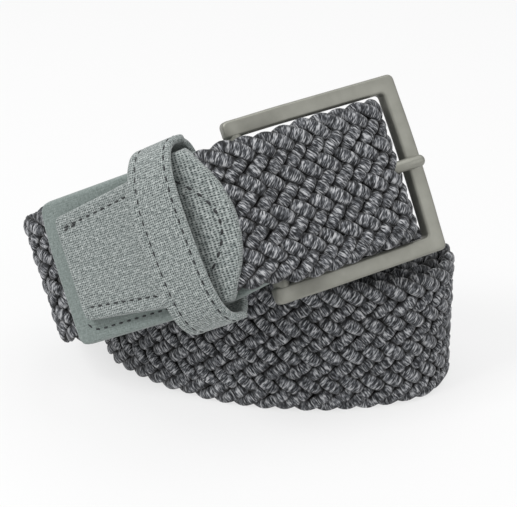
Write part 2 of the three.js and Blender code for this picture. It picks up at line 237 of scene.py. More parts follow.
def give_surface(tree, shader, colour, height, strength, depth):
    """Links a colour, and a bump from a height that is so many millimetres deep."""
    tree.links.new(colour, shader.inputs["Base Color"])
    bump = add_node(tree, "ShaderNodeBump",
                    {"Height": height, "Strength": strength, "Distance": depth * MM})
    tree.links.new(bump.outputs[0], shader.inputs["Normal"])


def stretched_noise(tree, uv, stretch, detail):
    """Noise over a UV map in millimetres, with so many spots to a millimetre each way."""
    spread = add_node(tree, "ShaderNodeVectorMath", {0: uv.outputs["UV"], 1: stretch},
                      operation="MULTIPLY")
    return add_node(tree, "ShaderNodeTexNoise",
                    {"Vector": spread.outputs[0], "Scale": 1.0, "Detail": detail})


def set_ramp(node, *stops):
    """Colour ramp stops, each a place from 0 to 1 and a hex colour."""
    elements = node.color_ramp.elements
    while len(elements) < len(stops):
        elements.new(0.5)
    for element, (place, code) in zip(elements, stops):
        element.position = place
        element.color = from_hex(code)


# %% [markdown]
# ## Camera
# The photograph was taken from a little above with a long lens. The lens comes from the fitted
# focal length in pixels of the 517 pixel wide frame. AIM is the point that the camera looks at.

# %% Camera
IMAGE_WIDTH, FOCAL_PIXELS, SENSOR = 517, 1640.0, 36.0
AIM = np.array([0.0, 0.0, 45.5]) + ORIGIN
DISTANCE, ELEVATION = 390.0, math.radians(24)

eye = AIM + DISTANCE * np.array([0.0, -math.cos(ELEVATION), math.sin(ELEVATION)])
lens_data = bpy.data.cameras.new("camera")
lens_data.lens = FOCAL_PIXELS / IMAGE_WIDTH * SENSOR
lens_data.sensor_width = SENSOR
lens_data.clip_start = 10 * MM
camera = bpy.data.objects.new("camera", lens_data)
camera.location = eye * MM
camera.rotation_euler = (math.pi / 2 - ELEVATION, 0.0, 0.0)
bpy.context.scene.collection.objects.link(camera)
bpy.context.scene.camera = camera
bpy.context.scene.view_settings.view_transform = "Standard"
print("lens:", round(lens_data.lens, 1), "mm")

# %% [markdown]
# ## Floor
# The belt lies on white with a faint, soft shadow. A plain white floor can't give that: lit
# until it is white, it throws a clear shadow. So the floor glows a little by itself, though it
# is no lamp: the glow is painted light that lifts the shadow and lights the belt a little from
# below. The floor is matt and mirrors nothing.

# %% Floor
FLOOR_SIZE, FLOOR_GLOW = 8, 0.705
deselect_all()
bpy.ops.mesh.primitive_plane_add(size=FLOOR_SIZE)
floor = named("floor")
glowing_floor, _, glowing_floor_shader = new_material("floor_with_painted_glow", roughness=0.9)
glowing_floor_shader.inputs["Base Color"].default_value = from_hex("7A7A7A")
# Painted light: the floor glows though it is no lamp, which lifts its shadow and lights the belt a little
# from below.
glowing_floor_shader.inputs["Emission Color"].default_value = from_hex("FFFFFF")
glowing_floor_shader.inputs["Emission Strength"].default_value = FLOOR_GLOW
floor.data.materials.append(glowing_floor)
print("floor:", FLOOR_SIZE, "m wide")

# %% [markdown]
# ## Light
# The light is that of a white studio. A white world fills every shadow. A small lamp high on
# the left models the braid and the cloth, a large one overhead lights the upper edges, and a
# weak one on the right lifts the end bar of the buckle. All of them aim at the roll.

# %% Light
WORLD_GLOW = 0.55
LIGHT_AIM = Vector((0, 0, 0.03))

world = bpy.data.worlds.new("studio")
bpy.context.scene.world = world
world.use_nodes = True
world.node_tree.nodes["Background"].inputs["Color"].default_value = from_hex("FFFFFF")
world.node_tree.nodes["Background"].inputs["Strength"].default_value = WORLD_GLOW

LIGHTS = [
    # name, place, size, power
    ("overhead", (0.1, 0.12, 0.9), 0.9, 3.8),
    ("left", (-0.55, -0.35, 0.75), 0.35, 5.4),
    ("right", (0.65, -0.4, 0.38), 0.35, 1.1),
]
for name, place, size, power in LIGHTS:
    data = bpy.data.lights.new(name, "AREA")
    data.size = size
    data.energy = power
    light = bpy.data.objects.new(name, data)
    light.location = place
    light.rotation_euler = (LIGHT_AIM - Vector(place)).to_track_quat("-Z", "Y").to_euler()
    bpy.context.scene.collection.objects.link(light)
    print(f"{name} lamp: {size} m wide, {power} W")

# %% [markdown]
# ## The path of the strap
# The braid follows the same rows as the solid strap in the frame: its end in the tab, the turn
# behind the roll, the spiral of the roll, the climb out of its middle, the bend beside the end
# bar and the end in the tip. Each row is five points across the strap. Smooth curves through
# the rows give the strap's surface, and the cords are braided on that surface.

# %% Sizes of the strap
WIDTH, THICK = 35.0, 3.6
ROLL_CENTRE, ROLL_TURNED = np.array([3.2, 33.6]), math.radians(-15.5)
END_RADIUS, SIDE_RADIUS, SIDE_HALF_ANGLE = 17.8, 62.8, math.radians(37)
PITCH, START_ANGLE, TRUE_AT, LEAD_IN, TURNS = 4.1, math.radians(50), 0.4, 0.26, 2.75
CLIMB_FROM, CLIMB_SLOPE = 2.45, math.radians(30)
TAIL_HEIGHT, BEND_AT, BEND_RADIUS, BEND_SWEEP = 6.2, 31.8, 6.1, math.radians(112)
TURN_FROM, TURN_RADIUS, TURN_SWEEP = -60.4, 9.5, math.radians(62)
TURN_HALF_WIDTH, TURN_SHIFT = 17.0, 0.35     # the braid is pulled a little narrower in this turn
TURN_ROWS, BEND_ROWS = 5, 6
ROW_STEP, SHORTEST_STEP, LONGEST_STEP = 0.4, 4, 9     # share of the roll's radius, millimetres
SHARES = np.array([-1.0, -0.5, 0.0, 0.5, 1.0])        # the five points across a row
print("strap:", WIDTH, "mm wide,", THICK, "mm thick,", TURNS, "turns")

BRAID_IN_TAB = [
    # along, half width, half thickness
    (-17, 16.5, 1.2), (-26, 16.5, 1.2), (-35, 16.5, 1.2), (-44, 16.5, 1.2), (-52.4, 16.8, 1.3),
    (-57.7, 17.3, 1.5), (-60.4, 17.4, 1.6),
]
BRAID_TO_TIP = [
    # along, half width, half thickness, shift across
    (31.1, 17.9, 1.8, 0), (24, 18, 1.8, -0.1), (17, 18.2, 1.8, -0.3), (9, 18.2, 1.8, -0.5),
    (2, 18.1, 1.8, -0.3), (-3.4, 17.6, 1.5, 0.5), (-8, 17.2, 1.3, 0.6), (-13, 16.8, 1.2, 0.6),
    (-19.7, 16.5, 1.2, 0.6),
]
BEHIND = [
    # x, y, z, heading, slope, lean
    (-51.3, 41.8, 24.2, 80, -12, -1), (-42.8, 53.8, 18.9, 48, -6, 0),
]
CLIMB = [
    (-14.8, 50.4, 28.2, -3, 28, 0), (-2.3, 46.9, 35.2, -22, 29, 0),
    (9.3, 40.5, 42.4, -33, 29, 5), (19.4, 32.1, 49.4, -41, 28, 12),
]


# %% Rows across the strap
def run_row(along, height, half_width, half=THICK / 2, shift=0.0):
    return run_to_drawing(along, SHARES * half_width + shift, height), half


def standing_row(x, y, z, heading, slope, lean):
    run, tilt, side = (math.radians(a) for a in (heading, slope, lean))
    across = SHARES * WIDTH / 2
    back = -math.sin(tilt) * across
    out = math.sin(side) * math.cos(tilt) * across
    line = np.stack([
        x + back * math.cos(run) - out * math.sin(run),
        y + back * math.sin(run) + out * math.cos(run),
        z + math.cos(tilt) * math.cos(side) * across,
    ], -1)
    return line, THICK / 2


def oval_point(angle, offset):
    """The roll's plan curve: its point at a normal angle and an inward offset, and its radius."""
    wrapped = angle % math.tau
    on_back = abs(wrapped - math.pi / 2) < SIDE_HALF_ANGLE
    on_front = abs(wrapped - 1.5 * math.pi) < SIDE_HALF_ANGLE
    spread = SIDE_RADIUS - END_RADIUS
    arc = np.zeros(2)
    if on_back or on_front:
        arc[1] = spread * math.cos(SIDE_HALF_ANGLE) * (-1 if on_back else 1)
    else:
        arc[0] = spread * math.sin(SIDE_HALF_ANGLE) * (1 if math.cos(wrapped) > 0 else -1)
    radius = (SIDE_RADIUS if on_back or on_front else END_RADIUS) - offset
    flat = arc + radius * np.array([math.cos(angle), math.sin(angle)])
    c, s = math.cos(ROLL_TURNED), math.sin(ROLL_TURNED)
    return ROLL_CENTRE + np.array([c * flat[0] - s * flat[1], s * flat[0] + c * flat[1]]), radius


def angle_past(angle, offset, distance, steps=16):
    """The normal angle a distance further along the plan curve."""
    for _ in range(steps):
        angle += distance / steps / oval_point(angle, offset)[1]
    return angle


def roll_rows():
    rows, lift, turn = [], 0.0, -LEAD_IN
    while turn <= TURNS:
        angle = START_ANGLE - math.tau * turn
        offset = PITCH * (turn - TRUE_AT)
        _, radius = oval_point(angle, offset)
        share = min(max((turn - CLIMB_FROM) / (TURNS - CLIMB_FROM), 0), 1)
        slope = CLIMB_SLOPE * share
        line = []
        for across in SHARES * WIDTH / 2:
            at, _ = oval_point(angle_past(angle, offset, across * math.sin(slope)), offset)
            line.append([at[0], at[1], WIDTH / 2 + lift + across * math.cos(slope)])
        rows.append((np.array(line), THICK / 2))
        step = min(max(radius * ROW_STEP, SHORTEST_STEP), LONGEST_STEP)
        lift += step * math.tan(slope)
        turn += step / radius / math.tau
    return rows


def strap_rows():
    rows = [run_row(along, 0.0, half_width, half) for along, half_width, half in BRAID_IN_TAB]
    for i in range(1, TURN_ROWS + 1):
        turn = TURN_SWEEP * i / TURN_ROWS
        rows.append(run_row(TURN_FROM - TURN_RADIUS * math.sin(turn),
                            TURN_RADIUS * (math.cos(turn) - 1), TURN_HALF_WIDTH, shift=TURN_SHIFT))
    rows += [standing_row(*row) for row in BEHIND] + roll_rows()
    rows += [standing_row(*row) for row in CLIMB]
    for i in range(BEND_ROWS, 0, -1):
        turn = BEND_SWEEP * i / BEND_ROWS
        rows.append(run_row(BEND_AT + BEND_RADIUS * math.sin(turn),
                            TAIL_HEIGHT + BEND_RADIUS * (math.cos(turn) - 1), BRAID_TO_TIP[0][1]))
    rows += [run_row(along, TAIL_HEIGHT, half_width, half, shift)
             for along, half_width, half, shift in BRAID_TO_TIP]
    return rows


# %% Smooth curves through the rows
def smooth_curve(points, parts):
    """Centripetal Catmull-Rom curve through the points, with some parts between each two."""
    ends = [2 * points[0] - points[1]], [2 * points[-1] - points[-2]]
    p = np.concatenate([ends[0], points, ends[1]])
    p0, p1, p2, p3 = p[:-3, None], p[1:-2, None], p[2:-1, None], p[3:, None]
    d0, d1, d2 = (np.linalg.norm(b - a, axis=-1, keepdims=True) ** 0.5
                  for a, b in ((p0, p1), (p1, p2), (p2, p3)))
    t1 = d1 * ((p1 - p0) / d0 - (p2 - p0) / (d0 + d1) + (p2 - p1) / d1)
    t2 = d1 * ((p2 - p1) / d1 - (p3 - p1) / (d1 + d2) + (p3 - p2) / d2)
    t = (np.arange(parts) / parts)[None, :, None]
    curve = p1 + t1 * t + (3 * (p2 - p1) - 2 * t1 - t2) * t ** 2 + (2 * (p1 - p2) + t1 + t2) * t ** 3
    return np.concatenate([curve.reshape(-1, 3), points[-1:]])


PARTS = 12
rows = strap_rows()
fibres = np.stack([smooth_curve(np.array([line[j] for line, _ in rows]), PARTS)
                   for j in range(len(SHARES))], 1)
fibres[..., 2] = np.maximum(fibres[..., 2], 0.0)      # nothing sinks into the floor
halves = np.interp(np.arange(len(fibres)) / PARTS, np.arange(len(rows)), [half for _, half in rows])
travel = travelled(fibres[:, 2])
heading = np.gradient(fibres, axis=0)
side = np.gradient(fibres, axis=1)
faces_out = np.cross(heading, side)
faces_out /= np.linalg.norm(faces_out, axis=-1, keepdims=True)
LENGTH = travel[-1]
print("braid length:", round(LENGTH), "mm")


def on_strap(s, across, height):
    """Points and outward directions on the strap, from millimetres along, across and out."""
    shares = across / (WIDTH / 2)
    fibre_count = len(SHARES)
    weights = np.ones((len(shares), fibre_count))
    for j in range(fibre_count):
        for k in range(fibre_count):
            if k != j:
                weights[:, j] *= (shares - SHARES[k]) / (SHARES[j] - SHARES[k])
    table = np.concatenate([fibres, faces_out], -1).reshape(len(fibres), -1)
    index = np.interp(s, travel, np.arange(len(travel)))
    low = np.minimum(index.astype(int), len(travel) - 2)
    part = (index - low)[:, None]
    values = (table[low] * (1 - part) + table[low + 1] * part).reshape(-1, fibre_count, 6)
    mixed = np.einsum("nj,njk->nk", weights, values)
    out = mixed[:, 3:] / np.linalg.norm(mixed[:, 3:], axis=-1, keepdims=True)
    pressed = np.interp(s, travel, halves) / (THICK / 2)
    return mixed[:, :3] + out * (height * pressed)[:, None], out, pressed


# %% [markdown]
# ## The cords of the braid
# Seventeen round elastic cords zigzag from edge to edge. Each passes over two cords, then
# under two, so its height follows a wave with a period of four crossings. No modelling
# operator braids, so the cords are swept in code: rings of points round each centre line.
# The floats that run downwards have a crease in their middle, where the cords beside them
# press on them, and the cords wander a little, as they do on a worn belt. Each point keeps how
# many millimetres along its cord it lies, for the pattern of the cover, and how far it is from
# the middle of the strap, so that the material can paint shade into the gaps between the cords
# and on the cords' sides.

# %% Sizes of the braid
CORDS = 17
PERIOD = 89.5                # length of strap in which a cord comes back to the same edge
SWING = 34.2                 # width between the corners of the zigzag
EDGE_ROUNDING = 0.5          # in crossing levels
CORD_HEIGHT = 0.92           # how far a cord's centre rises above the middle of the strap
FLOAT_FULLNESS = 0.35        # how much flatter on top than a plain wave a float is
CORD_HALF_WIDTH, CORD_HALF_THICKNESS = 1.72, 1.0
CREASE_DEPTH, CREASE_WIDTH = 0.6, 0.17
SLIMMER = 0.1                # how much slimmer a cord is at a crossing or a crease
LEAST_THICKNESS = 0.3        # share of its thickness that a cord keeps where it is sewn flat
WANDER_STEP = 6              # millimetres between two wanderings
WANDER_ACROSS, WANDER_UP, WANDER_FULLNESS = 0.16, 0.06, 0.03
FALL_SHARPNESS = 5           # how sharply a cord at an edge goes from rising to falling
# Painted shade: over this outer part of the strap the shade between the cords fades out.
UNSHADED_EDGE_RIM = 2.4               # outer part of the strap that counts as its outside
END_GAP = 0.3
COVER_OFFSET = 40.0          # shifts the pattern of the cover from each cord to the next
RING_SIDES, RINGS_PER_LEVEL = 10, 4.5
print(CORDS, "cords,", round(PERIOD / CORDS, 1), "mm between two of them along the edge")


def zigzag(s, cord):
    """Place across the strap, and the number of crossings passed, for a cord at lengths s."""
    level = (s / PERIOD * 2 * CORDS + 2 * cord) % (2 * CORDS)
    below = CORDS - np.abs(level - CORDS)
    near_top = CORDS - np.sqrt((CORDS - below) ** 2 + EDGE_ROUNDING ** 2)
    near_bottom = np.sqrt(below ** 2 + EDGE_ROUNDING ** 2)
    rounded = np.where(below > CORDS / 2, near_top, near_bottom)
    crossings = np.interp(level, [0, 1, CORDS - 1, CORDS + 1, 2 * CORDS - 1, 2 * CORDS],
                          [-0.5, 0, CORDS - 2, CORDS - 1, 2 * CORDS - 3, 2 * CORDS - 2.5])
    return SWING * (rounded / CORDS - 0.5), crossings


def cord_rings(cord, rng):
    """Ring points of one cord, their places along it, and how far out in the strap each lies."""
    step = PERIOD / (2 * CORDS) / RINGS_PER_LEVEL
    s = np.linspace(END_GAP, LENGTH - END_GAP, int(LENGTH / step))
    across, crossings = zigzag(s, cord)
    wave = np.cos(math.pi / 2 * (crossings - 0.5))
    falling = 0.5 - 0.5 * np.tanh(np.gradient(across, s) * FALL_SHARPNESS)
    to_middle = (crossings + 0.5) % 2 - 1
    crease = falling * np.exp(-(to_middle / CREASE_WIDTH) ** 2)
    fuller = 1 + FLOAT_FULLNESS - FLOAT_FULLNESS * wave ** 2
    height = CORD_HEIGHT * wave * fuller * (1 - CREASE_DEPTH * crease)
    loose = rng.normal(0, 1, (3, int(LENGTH / WANDER_STEP) + 2))
    spots = np.linspace(0, LENGTH, loose.shape[1])
    wander = [np.interp(s, spots, values) for values in loose]
    across = across + WANDER_ACROSS * wander[0]
    height = height + WANDER_UP * wander[1]
    centre, out, pressed = on_strap(s, across, height)
    ahead = np.gradient(centre, axis=0)
    ahead /= np.linalg.norm(ahead, axis=1, keepdims=True)
    out -= ahead * np.sum(out * ahead, axis=1, keepdims=True)
    out /= np.linalg.norm(out, axis=1, keepdims=True)
    beside = np.cross(ahead, out)
    plump = 1 - SLIMMER * (1 - wave ** 2 + crease) + WANDER_FULLNESS * wander[2]
    squeeze = LEAST_THICKNESS + (1 - LEAST_THICKNESS) * pressed
    angles = np.arange(RING_SIDES) / RING_SIDES * math.tau
    wide = np.outer(CORD_HALF_WIDTH * plump, np.cos(angles))
    tall = np.outer(CORD_HALF_THICKNESS * plump, np.sin(angles))
    ring = beside[:, None] * wide[..., None] + out[:, None] * (tall * squeeze[:, None])[..., None]
    # Painted shade: a point's distance from the middle of the strap darkens the cover in the gaps between
    # the cords and on their sides; near the edges it fades out.
    depth = np.abs(height[:, None] + tall)
    depth = np.maximum(depth, (np.abs(across) - SWING / 2 + UNSHADED_EDGE_RIM)[:, None])
    return (centre[:, None] + ring + ORIGIN) * MM, travelled(centre) + COVER_OFFSET * cord, depth


def cord_mesh(name, cords, rng):
    """One mesh with several cords: closed tubes with a UV map of the cover."""
    points, faces, covers, shade_depths = [], [], [], []
    for cord in cords:
        rings, run_length, depth = cord_rings(cord, rng)
        shade_depths.append(depth.ravel())
        start, count = sum(len(p) for p in points), len(rings)
        points.append(rings.reshape(-1, 3))
        i, j = np.meshgrid(np.arange(count - 1), np.arange(RING_SIDES), indexing="ij")
        nxt = (j + 1) % RING_SIDES
        corner = start + np.stack([i * RING_SIDES + j, (i + 1) * RING_SIDES + j,
                                   (i + 1) * RING_SIDES + nxt, i * RING_SIDES + nxt], -1)
        faces += corner.reshape(-1, 4).tolist()
        turn = np.stack([j, j, j + 1, j + 1], -1) / RING_SIDES
        length = np.stack([run_length[i], run_length[i + 1], run_length[i + 1], run_length[i]], -1)
        covers.append(np.stack([length, turn], -1).reshape(-1, 2))
        last = start + (count - 1) * RING_SIDES
        faces.append([start + k for k in range(RING_SIDES)])
        faces.append([last + k for k in reversed(range(RING_SIDES))])
        covers.append(np.tile([run_length[0], 0.25], (RING_SIDES, 1)))
        covers.append(np.tile([run_length[-1], 0.25], (RING_SIDES, 1)))
    mesh = bpy.data.meshes.new(name)
    mesh.from_pydata(np.concatenate(points).tolist(), [], faces)
    cover_map = mesh.uv_layers.new(name="cover")
    cover_map.data.foreach_set("uv", np.concatenate(covers).ravel())
    # The depth attribute carries the painted shade between the cords.
    mesh.attributes.new("depth", "FLOAT", "POINT").data.foreach_set("value", np.concatenate(shade_depths))
    mesh.shade_smooth()
    piece = bpy.data.objects.new(name, mesh)
    bpy.context.scene.collection.objects.link(piece)
    print(f"{name}: {len(cords)} cords, each about {run_length[-1] - run_length[0]:.0f} mm long")
    return piece


# %% [markdown]
# ## The cover of a cord
# Each cord is rubber threads in a tight cover of polyester yarns, some pale and some dark, so
# it looks like a row of short dashes round the cord, and it hardly shines. Two noises that are
# stretched round the cord give the dashes: a fine one for single yarns, and a wide one where
# several pale or dark yarns lie side by side. A wave texture would make them too regular. The
# gaps between the cords and the cords' sides are darkened as well: this is painted shade, set
# by how far each point lies from the middle of the strap.

# %% Cord cover material
STREAK_WIDTH, STREAK_LENGTH = 0.26, 1.3     # one yarn, in millimetres along and round the cord
BAND_WIDTH, BAND_LENGTH = 0.95, 6.0         # several pale or dark yarns side by side
CORD_ROUND = 8.2                            # millimetres round a cord
BAND_SHARE = 0.45
# Painted shade: black at the first distance from the middle of the strap, none from the second.
SHADE_BLACK_DEPTH, SHADE_FREE_DEPTH = 0.7, 1.55          # from the middle of the strap: black, full colour


def cord_cover():
    material, tree, shader = new_material("polyester_yarn_cover", roughness=0.92, sheen=0.1)
    cover = add_node(tree, "ShaderNodeUVMap", uv_map="cover")
    streaks, bands = (stretched_noise(tree, cover, (1 / width, CORD_ROUND / length, 1.0), 1.0)
                      for width, length in ((STREAK_WIDTH, STREAK_LENGTH), (BAND_WIDTH, BAND_LENGTH)))
    yarns = add_node(tree, "ShaderNodeMix",
                     {0: BAND_SHARE, 2: streaks.outputs["Fac"], 3: bands.outputs["Fac"]})
    tone = add_node(tree, "ShaderNodeValToRGB", {0: yarns.outputs[0]})
    set_ramp(tone, (0.41, "121417"), (0.47, "36383C"), (0.53, "686A6E"), (0.6, "B0B1B3"))
    # Painted shade: the tone darkens towards the middle of the strap, in the gaps between the cords.
    depth = add_node(tree, "ShaderNodeAttribute", attribute_name="depth")
    painted_gap_shade = add_node(tree, "ShaderNodeMapRange",
                        {0: depth.outputs["Fac"], 1: SHADE_BLACK_DEPTH, 2: SHADE_FREE_DEPTH, 3: 0.0, 4: 1.0})
    tone_with_painted_shade = add_node(tree, "ShaderNodeVectorMath",
                      {0: tone.outputs[0], "Scale": painted_gap_shade.outputs[0]}, operation="SCALE")
    give_surface(tree, shader, tone_with_painted_shade.outputs[0], yarns.outputs[0], strength=0.6, depth=0.15)
    return material


cord_finish = cord_cover()

# %% Braid the cords
# The cords are shared out among four meshes, so that each stays below 200,000 triangles.
rng = np.random.default_rng(17)
CORD_GROUPS = [range(0, 5), range(5, 9), range(9, 13), range(13, 17)]
for number, cords in enumerate(CORD_GROUPS, 1):
    piece = cord_mesh(f"braid_cords_{number}", cords, rng)
    finished(piece, cord_finish, "braided_cord", "braided_strap")

# %% [markdown]
# ## Canvas
# The tab, keeper and tip are grey-green cotton canvas in plain weave: one thread over, one
# under, with a dark pit between each four threads. A real thread is about 0.4 mm wide, too fine
# for a small render, so the weave is drawn at 0.56 mm. The pits wander a little and threads
# differ in tone, because a perfect grid looks printed. The tab is pressed smooth, so it has a
# cloth of its own with shallow pits. The pattern follows each piece's own UV map, which keeps
# millimetres along and across the cloth.

# %% Canvas material
THREAD = 0.56
WANDER_EACH, PIT_WANDER = 1.2, 0.5          # wanderings in a millimetre, millimetres to wander
SLUB = 2.5                                  # how much longer than wide a pale or dark stretch is


def canvas_cloth(name, pit_depth, *stops):
    material, tree, shader = new_material(name, roughness=0.95, sheen=0.2)
    cloth = add_node(tree, "ShaderNodeUVMap", uv_map="cloth")
    wander = stretched_noise(tree, cloth, [WANDER_EACH] * 3, 1.0)
    uneven = add_node(tree, "ShaderNodeVectorMath",
                      {0: wander.outputs["Color"], 1: [PIT_WANDER] * 3, 2: cloth.outputs["UV"]},
                      operation="MULTIPLY_ADD")
    parted = add_node(tree, "ShaderNodeSeparateXYZ", {0: uneven.outputs[0]})
    hollows = []
    for axis in (0, 1):
        turned = add_node(tree, "ShaderNodeMath", {0: parted.outputs[axis], 1: math.pi / THREAD},
                          operation="MULTIPLY")
        wave = add_node(tree, "ShaderNodeMath", {0: turned.outputs[0]}, operation="SINE")
        round_thread = add_node(tree, "ShaderNodeMath", {0: wave.outputs[0]}, operation="ABSOLUTE")
        hollows.append(add_node(tree, "ShaderNodeMath", {0: 1.0, 1: round_thread.outputs[0]},
                                operation="SUBTRACT"))
    pits = add_node(tree, "ShaderNodeMath", {0: hollows[0].outputs[0], 1: hollows[1].outputs[0]},
                    operation="MULTIPLY")
    warp, weft = (stretched_noise(tree, cloth, (wide / (THREAD * 2), tall / (THREAD * 2), 1.0), 2.0)
                  for wide, tall in ((1, SLUB), (SLUB, 1)))
    threads = add_node(tree, "ShaderNodeMix", {0: 0.5, 2: warp.outputs[0], 3: weft.outputs[0]})
    woven = add_node(tree, "ShaderNodeMath", {0: pits.outputs[0], 1: -pit_depth, 2: threads.outputs[0]},
                     operation="MULTIPLY_ADD")
    tone = add_node(tree, "ShaderNodeValToRGB", {0: woven.outputs[0]})
    set_ramp(tone, *stops)
    give_surface(tree, shader, tone.outputs[0], woven.outputs[0], strength=0.5, depth=0.3)
    return material


canvas = canvas_cloth("cotton_canvas", 0.75, (0.05, "1B2022"), (0.3, "596160"),
                      (0.47, "8A918F"), (0.66, "B8BDBB"))
fine_canvas = canvas_cloth("smooth_cotton_canvas", 0.2,
                           (0.2, "59635F"), (0.5, "78827F"), (0.7, "8A9390"))
print("weave drawn at", THREAD, "mm")

# %% [markdown]
# ## Sewing thread
# The seams are sewn with twisted polyester thread, dyed a dark grey. It shines a little more
# than the canvas, and its tone hardly varies.

# %% Sewing thread material
PLY = 0.4                      # one twisted ply, in millimetres
thread, thread_tree, thread_shader = new_material("polyester_sewing_thread", roughness=0.7)
thread_place = add_node(thread_tree, "ShaderNodeTexCoord")
thread_noise = add_node(thread_tree, "ShaderNodeTexNoise",
                        {"Vector": thread_place.outputs["Object"], "Scale": 1 / (PLY * MM)})
thread_tone = add_node(thread_tree, "ShaderNodeValToRGB", {0: thread_noise.outputs["Fac"]})
set_ramp(thread_tone, (0.3, "1A1B1D"), (0.7, "323436"))
thread_tree.links.new(thread_tone.outputs[0], thread_shader.inputs["Base Color"])

# %% [markdown]
# ## Cloth panels
# Each canvas piece is two faces of cloth that meet in a soft edge. A grid is added for each
# face and shaped by a rule for that piece. Its lines crowd together at the edges, where the
# cloth turns over. The two grids are then joined and their shared edges merged, so the panel
# is closed. A pocket for the braid's end is cut with a boolean.

# %% Panel helpers
CELL, SOFT_EDGE, MERGED = 0.6, 0.9, 0.002     # a grid cell, a turned edge, points that are one
SEAM_DEPTH, SEAM_WIDTH = 0.3, 0.5


def even_rows(size):
    places = np.linspace(0, 1, round(size / CELL) + 1)
    return places, np.ones_like(places)


def edge_rows(size, radius=SOFT_EDGE, steps=4):
    """Grid lines from 0 to 1, crowded at both ends, and how full the cloth is at each."""
    turn = np.linspace(0, math.pi / 2, steps + 1)[:-1]
    bend = radius * (1 - np.cos(turn))
    inner = np.linspace(radius, size - radius, round((size - 2 * radius) / CELL) + 1)
    places = np.concatenate([bend, inner, size - bend[::-1]]) / size
    full = np.concatenate([np.sin(turn), np.ones_like(inner), np.sin(turn)[::-1]])
    return places, full


def cloth_face(name, a_rows, b_rows, shape, facing):
    deselect_all()
    counts = len(a_rows[0]) - 1, len(b_rows[0]) - 1
    bpy.ops.mesh.primitive_grid_add(x_subdivisions=counts[0], y_subdivisions=counts[1], size=1)
    piece = named(name)
    flat = points_of(piece)
    i, j = (np.rint((flat[:, k] + 0.5) * counts[k]).astype(int) for k in (0, 1))
    points, cloth = shape(a_rows[0][i], b_rows[0][j], a_rows[1][i], b_rows[1][j], facing)
    set_points(piece, points)
    while piece.data.uv_layers:
        piece.data.uv_layers.remove(piece.data.uv_layers[0])
    corners = np.empty(len(piece.data.loops), int)
    piece.data.loops.foreach_get("vertex_index", corners)
    piece.data.uv_layers.new(name="cloth").data.foreach_set("uv", np.ravel(cloth[corners]))
    return piece


def cloth_panel(name, a_rows, b_rows, shape):
    """A closed panel: shape gives points and cloth places, from shares, fullness and side."""
    back = cloth_face(name + "_back", a_rows, b_rows, shape, -1)
    front = cloth_face(name, a_rows, b_rows, shape, 1)
    join_into(front, back)
    bpy.ops.object.mode_set(mode="EDIT")
    bpy.ops.mesh.select_all(action="SELECT")
    bpy.ops.mesh.remove_doubles(threshold=MERGED)
    bpy.ops.mesh.normals_make_consistent(inside=False)
    bpy.ops.object.mode_set(mode="OBJECT")
    front.data.shade_smooth()
    return front


def cut_away(piece, cutter):
    """Cuts the cutter's room out of a piece and removes the cutter."""
    deselect_all()
    apply_modifier(piece, "BOOLEAN", operation="DIFFERENCE", solver="EXACT", object=cutter)
    bpy.data.objects.remove(cutter)


def plate_shape(table, left, right, grooves=(), shift=0.0):
    """Shape rule of a flat panel, from stations of (along, back, front, half width)."""
    table = np.array(table, float)

    def shape(a, b, a_full, b_full, facing):
        side = 2 * b - 1
        along = left(side) + a * (right(side) - left(side))
        wide, low, high = (np.interp(along, table[:, 0], table[:, k]) for k in (3, 1, 2))
        across = side * wide
        half = (high - low) / 2
        spots = np.column_stack([along, across])
        dip = sum((seam_dip(spots, seam) for seam in grooves), np.zeros(len(along)))
        height = (low + high) / 2 + facing * (half * a_full * b_full - dip)
        cloth_a = along + np.where(a > 0.5, 1, -1) * half * (1 - a_full)
        cloth_b = across + np.sign(side) * half * (1 - b_full)
        return np.column_stack([along, across + shift, height]), np.column_stack([cloth_a, cloth_b])

    return shape


def seam_dip(points, line):
    """How deep the cloth dips because of a seam along a line of (along, across)."""
    nearest = np.full(len(points), 1e9)
    for a, b in zip(line[:-1], line[1:]):
        a, b = np.array(a, float), np.array(b, float)
        share = np.clip((points - a) @ (b - a) / ((b - a) @ (b - a)), 0, 1)
        away = points - a - share[:, None] * (b - a)
        nearest = np.minimum(nearest, np.linalg.norm(away, axis=1))
    return SEAM_DEPTH * np.exp(-(nearest / SEAM_WIDTH) ** 2)


def corner_cut(side, half, radius):
    """How far a panel's end steps back at its rounded corners."""
    share = np.clip((np.abs(side) * half - (half - radius)) / radius, 0, 1)
    return radius * (1 - np.sqrt(1 - share ** 2))


# %% [markdown]
# ## Stitches
# A lockstitch shows as short, thick dashes that sink into the cloth at both ends. One stitch is
# a stretched ball. It is copied along each seam, turned the way that the seam runs there, and
# laid on the cloth by the same rule that shapes the panel.

# %% Stitches
STITCH_LENGTH, STITCH_GAP, STITCH_RADIUS = 1.4, 1.1, 0.21
STITCH_SINK, STITCH_WAY = 0.18, 0.4     # how deep it lies, how far ahead its direction is read


